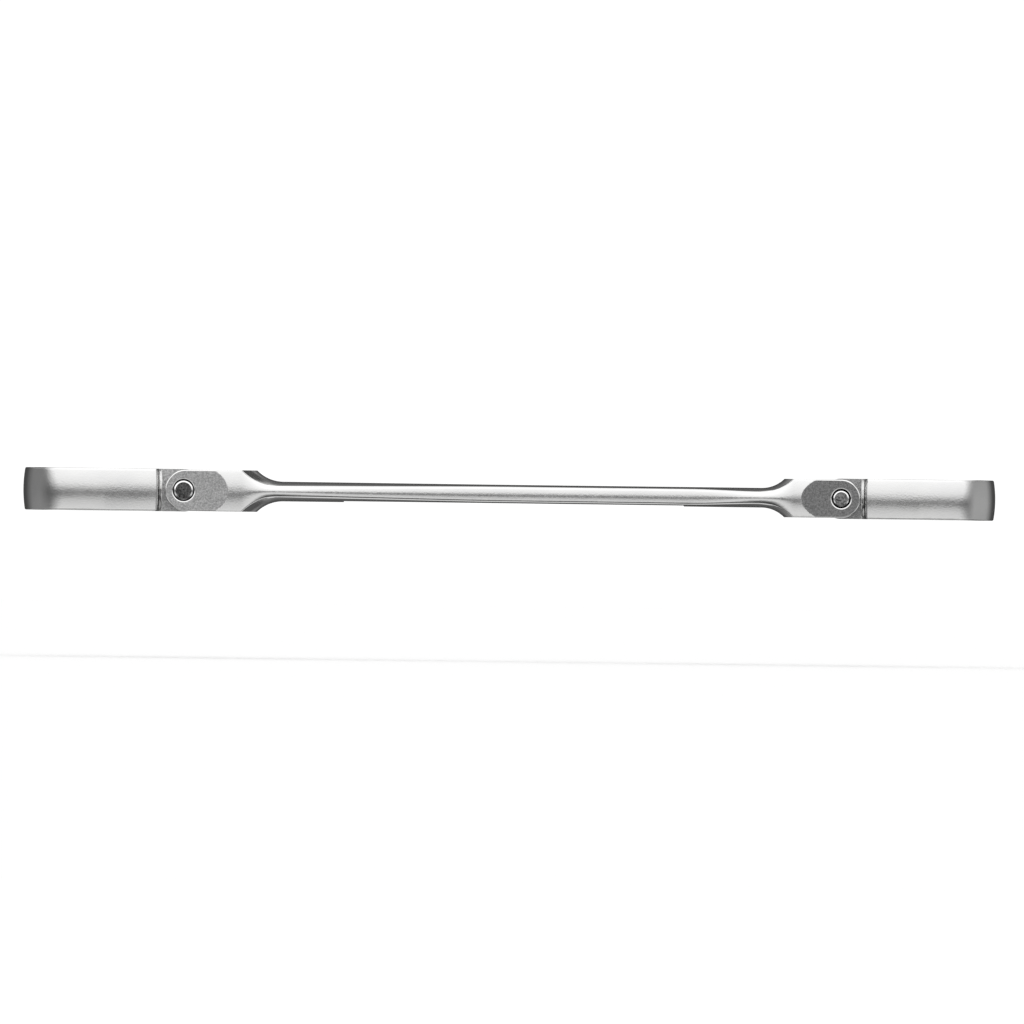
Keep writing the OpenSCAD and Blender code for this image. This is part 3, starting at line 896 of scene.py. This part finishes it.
def pivot_pin(end):
    """The pin, with a stepped nose at each end whose face is bevelled."""
    half = end.fork_w / 2 - PIN_SINK
    nose_r = end.pin_r - end.pin_step
    bevel_end = half - end.pin_chamfer * CHAMFER_SLOPE
    step_end = half - PIN_NOSE - end.pin_step
    upper = [
        (0, half),
        (nose_r - end.pin_chamfer, half),
        (nose_r, bevel_end),
        (nose_r, half - PIN_NOSE),
        (end.pin_r, step_end),
    ]
    profile = [(r, -z) for r, z in upper] + upper[::-1]
    piece = lay_along_y(lathe(f"pin_{end.name}", rounded_profile(profile, PIN_EDGE_R)))
    place(piece, end)

    def choose(centre, normal):
        if abs(normal.y) > 0.97 and abs(centre.y) > half - 0.05:
            return 1
        # The nose's side below its bevel is dark: painted shade for the groove round the pin.
        return 2 if step_end < abs(centre.y) < bevel_end - 0.02 else 0

    wear(piece, [PIN_SIDE, PIN_FACE[end.name], PHOSPHATE_AND_GAP_SHADE], choose)
    finish_shading(piece, sharp_deg=40)
    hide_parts(f"pivot_pin_{end.name}")
    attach(piece, "handle")


def retaining_ring(end):
    outer = end.gear_r + CAVITY_GAP + CLIP_DEPTH - RUN_GAP
    inner = end.gear_r - BOSS_STEP + CLIP_OVERHANG
    gap = math.degrees(CLIP_GAP / outer)
    low, high = end.clip_z, end.clip_z + CLIP_T
    profile = rounded_profile([(inner, low), (outer, low), (outer, high), (inner, high)], CLIP_EDGE_R)
    piece = lathe(f"clip_{end.name}", profile, 120, 180 + gap / 2, 360 - gap)
    place(at_ring(piece, end), end)
    wear(piece, [PHOSPHATE_AND_GAP_SHADE])
    finish_shading(piece)
    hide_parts(f"retaining_ring_{end.name}")
    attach(piece, f"head_{end.name}")


def wire_coil(name, node, body, wire):
    """A fine coil along X that fills the box of the spring's own node."""
    low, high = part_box(node)
    middle = (low + high) / 2 / MM
    r = (high.z - low.z) / 2 / MM - wire / 2
    length = (high.x - low.x) / MM - wire
    around, per_turn = 12, 36
    rise = length / COIL_TURNS
    along = rise / (2 * math.pi * r)
    rings = []
    for i in range(COIL_TURNS * per_turn + 1):
        a = 2 * math.pi * i / per_turn
        out = Vector((0, math.cos(a), math.sin(a)))
        side = Vector((1, along * math.sin(a), -along * math.cos(a))).normalized()
        centre = Vector((middle.x - length / 2 + rise * i / per_turn, middle.y, middle.z)) + out * r
        rings.append([
            tuple(centre + out * math.cos(b) * wire / 2 + side * math.sin(b) * wire / 2)
            for b in (2 * math.pi * k / around for k in range(around))
        ])
    piece = place(loft(name, rings))
    wear(piece, [WIRE_STEEL])
    finish_shading(piece, sharp_deg=50)
    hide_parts(node)
    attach(piece, body)
    return piece


def pawl_coil(end):
    """The spring behind the pawl, with a mesh of its own."""
    node = f"pawl_spring_{end.name}"
    piece = wire_coil(f"pawl_coil_{end.name}", node, f"head_{end.name}", PAWL_WIRE)
    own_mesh(piece)


def dress(node, material):
    """Gives a CAD node that keeps its own mesh its material."""
    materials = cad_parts[node].data.materials
    materials.clear()
    materials.append(material)


# ---------------------------------------------------------------- studio

# How bright the surround is to the eye and to the floor, and how far the floor lies below a folded head.
SURROUND = 1.08
FLOOR_GAP = 1.5


def floor():
    """A pale floor just below the reach of a head folded down. It shows only from above."""
    size = 3.0
    low = -(max(end.reach for end in ENDS) + FLOOR_GAP) * MM
    corners = [(-size, -size, low), (size, -size, low), (size, size, low), (-size, size, low)]
    mesh = bpy.data.meshes.new("floor")
    mesh.from_pydata(corners, [], [(0, 1, 2, 3)])
    piece = add_object("floor", mesh)
    material = bpy.data.materials.new("pale_floor")
    material.use_nodes = True
    sheet = Graph(material.node_tree)
    sheet.nodes.remove(sheet.nodes["Principled BSDF"])
    paint = sheet.node("ShaderNodeBsdfDiffuse")
    paint.inputs["Color"].default_value = (0.93, 0.93, 0.93, 1)
    clear = sheet.node("ShaderNodeBsdfTransparent")
    underside = sheet.node("ShaderNodeNewGeometry").outputs["Backfacing"]
    shown = sheet.node("ShaderNodeMixShader")
    for socket, source in zip(shown.inputs, (underside, paint.outputs[0], clear.outputs[0])):
        sheet.feed(socket, source)
    sheet.feed(sheet.nodes["Material Output"].inputs["Surface"], shown.outputs[0])
    mesh.materials.append(material)
    piece.visible_glossy = False


# What polished metal mirrors at each elevation, as (degrees, tone): ahead, off the front corners, on the
# left and right, off the rear quarters and behind.
FRONT = [
    (-90, 0.68), (-75, 0.6), (-60, 0.15), (-48, 0.05), (-38, 0.08), (-30, 0.35), (-22, 0.75), (-15, 0.72),
    (-10.5, 0.62), (-7, 0.47), (-4.5, 0.2), (-2.5, 0.17), (-0.5, 0.34), (2, 0.62), (4.5, 0.85), (8, 0.94),
    (14, 1.04), (25, 1.2), (75, 1.2), (90, 1.5),
]
CORNER = [
    (-90, 0.68), (-60, 0.3), (-45, 0.12), (-30, 0.24), (-18, 0.24), (-10, 0.18), (-2, 0.11), (5, 0.18),
    (12, 0.25), (20, 0.5), (28, 0.9), (60, 1.1), (90, 0.75),
]
LEFT = [
    (-90, 1.2), (-62, 1.0), (-50, 0.1), (-33, 0.1), (-27, 0.5), (-19, 0.24), (-8, 0.24), (0, 0.215),
    (12, 0.205), (19, 0.21), (27, 0.7), (34, 0.08), (45, 0.08), (50, 0.9), (60, 1.7), (90, 1.6),
]
RIGHT = [
    (-90, 1.2), (-62, 1.0), (-50, 0.1), (-33, 0.1), (-27, 0.5), (-19, 0.37), (-8, 0.38), (0, 0.38),
    (12, 0.34), (19, 0.3), (27, 0.7), (34, 0.08), (45, 0.08), (50, 0.9), (60, 1.7), (90, 1.6),
]
QUARTER = [
    (-90, 0.68), (-55, 0.8), (-46, 0.1), (-34, 0.1), (-29, 0.3), (-23, 0.3), (-18, 0.1), (18, 0.1),
    (23, 0.28), (30, 0.32), (34, 0.09), (45, 0.09), (51, 0.9), (75, 0.9), (90, 0.75),
]
BEHIND = [
    (-90, 0.68), (-65, 0.8), (-50, 0.6), (-40, 0.25), (-25, 0.15), (-10, 0.13), (10, 0.13), (25, 0.18),
    (36, 0.24), (46, 0.7), (60, 1.0), (75, 0.9), (90, 0.75),
]

# The bright front's edges lean outwards above and below a centre a little under level, and the right side
# starts a little earlier than the left. Sink and lead are shares of a half turn; the leans are slopes.
CENTRE_SINK = 0.022
LEAN_ABOVE = 1.25
LEAN_BELOW = -0.7
RIGHT_LEAD = 0.08


def studio():
    """A plain white surround. Polished metal mirrors soft bright and dark bands, as in a light tent."""
    world = bpy.data.worlds.new("studio")
    bpy.context.scene.world = world
    world.use_nodes = True
    world.cycles.sampling_method = "NONE"
    tent = Graph(world.node_tree)

    def by_angle(share, stops, start=0):
        """A tone for an angle, given as a share of a half turn from start, by (degrees, tone) stops."""
        return tent.ramp(share, [((angle - start) / 180, tone) for angle, tone in stops])

    parts = tent.node("ShaderNodeSeparateXYZ")
    tent.feed(parts.inputs[0], tent.node("ShaderNodeTexCoord").outputs["Generated"])
    x, y, z = parts.outputs
    height = tent.math("ADD", tent.math("DIVIDE", tent.math("ARCSINE", z), math.pi), 0.5)
    flat = tent.math("SQRT", tent.math("ADD", tent.math("MULTIPLY", x, x), tent.math("MULTIPLY", y, y)))
    ahead = tent.math("DIVIDE", tent.math("MULTIPLY", y, -1), tent.math("MAXIMUM", flat, 0.001))
    turn = tent.math("DIVIDE", tent.math("ARCCOSINE", ahead), math.pi)

    def band(stops):
        return by_angle(height, stops, -90)

    over = tent.math("ADD", tent.math("SUBTRACT", height, 0.5), CENTRE_SINK)
    above = tent.math("MULTIPLY", tent.math("MAXIMUM", over, 0.0), LEAN_ABOVE)
    below = tent.math("MULTIPLY", tent.math("MINIMUM", over, 0.0), LEAN_BELOW)
    lean = tent.math("ADD", above, below)
    to_corner = by_angle(tent.math("SUBTRACT", turn, lean), [(38, 0.0), (62, 1.0)])
    to_right = by_angle(tent.math("ADD", tent.math("MULTIPLY", x, 0.5), 0.5), [(80, 0.0), (100, 1.0)])
    lead = tent.math("MULTIPLY", to_right, RIGHT_LEAD)
    to_side = by_angle(tent.math("ADD", turn, lead), [(70, 0.0), (92, 1.0)])
    to_quarter = by_angle(turn, [(116, 0.0), (142, 1.0)])
    to_back = by_angle(turn, [(152, 0.0), (170, 1.0)])

    mirrored = tent.mix(to_corner, band(FRONT), band(CORNER))
    mirrored = tent.mix(to_side, mirrored, tent.mix(to_right, band(LEFT), band(RIGHT)))
    mirrored = tent.mix(to_quarter, mirrored, band(QUARTER))
    mirrored = tent.mix(to_back, mirrored, band(BEHIND))
    glossy = tent.node("ShaderNodeLightPath").outputs["Is Glossy Ray"]
    seen = tent.mix(glossy, (SURROUND, SURROUND, SURROUND, 1), mirrored)
    tent.feed(tent.nodes["Background"].inputs["Color"], seen)


# The photo's framing: its width in lengths of the wrench, its roll, and where it looks past the middle.
FRAME_WIDTH = 1.0535
ROLL = math.radians(0.74)
LOOK_RIGHT = 0.61 * MM
LOOK_DOWN = 4.0 * MM
CAMERA_DISTANCE = 5.0
SENSOR_WIDTH = 36.0


def camera():
    """A long lens level with the wrench, at its edge, with the small end a little lower in the frame."""
    data = bpy.data.cameras.new("camera")
    data.sensor_width = SENSOR_WIDTH
    data.lens = SENSOR_WIDTH * CAMERA_DISTANCE / ((CAD_BOX[1].x - CAD_BOX[0].x) * FRAME_WIDTH)
    data.clip_start = 0.01
    data.clip_end = 20.0
    piece = add_object("camera", data)
    bpy.context.scene.camera = piece
    right = Vector((math.cos(ROLL), 0, math.sin(ROLL)))
    up = Vector((-math.sin(ROLL), 0, math.cos(ROLL)))
    back = Vector((0, -1, 0))
    stand = right * LOOK_RIGHT - up * LOOK_DOWN + back * CAMERA_DISTANCE
    piece.matrix_world = Matrix.Translation(stand) @ Matrix((right, up, back)).transposed().to_4x4()


# ---------------------------------------------------------------- the wrench

camera()
studio()
floor()
bpy.context.scene.view_settings.view_transform = "Standard"

handle()
for wrench_end in ENDS:
    label = wrench_end.name
    head(wrench_end)
    pivot_pin(wrench_end)
    retaining_ring(wrench_end)
    wire_coil(f"friction_spring_{label}", f"joint_spring_{label}", "handle", JOINT_WIRE)
    pawl_coil(wrench_end)
    ring_centre = wrench_end.pin_x + wrench_end.turn * wrench_end.ring_x
    dress(f"ratchet_gear_{label}", machined_steel(f"gear_steel_{label}", 0.7, 0.28, (ring_centre, 0)))
    dress(f"pawl_{label}", PAWL_STEEL)
    dress(f"pawl_plunger_{label}", BALL_STEEL)
    dress(f"joint_ball_{label}", BALL_STEEL)
    dress(f"thrust_washer_{label}", WASHER_STEEL)
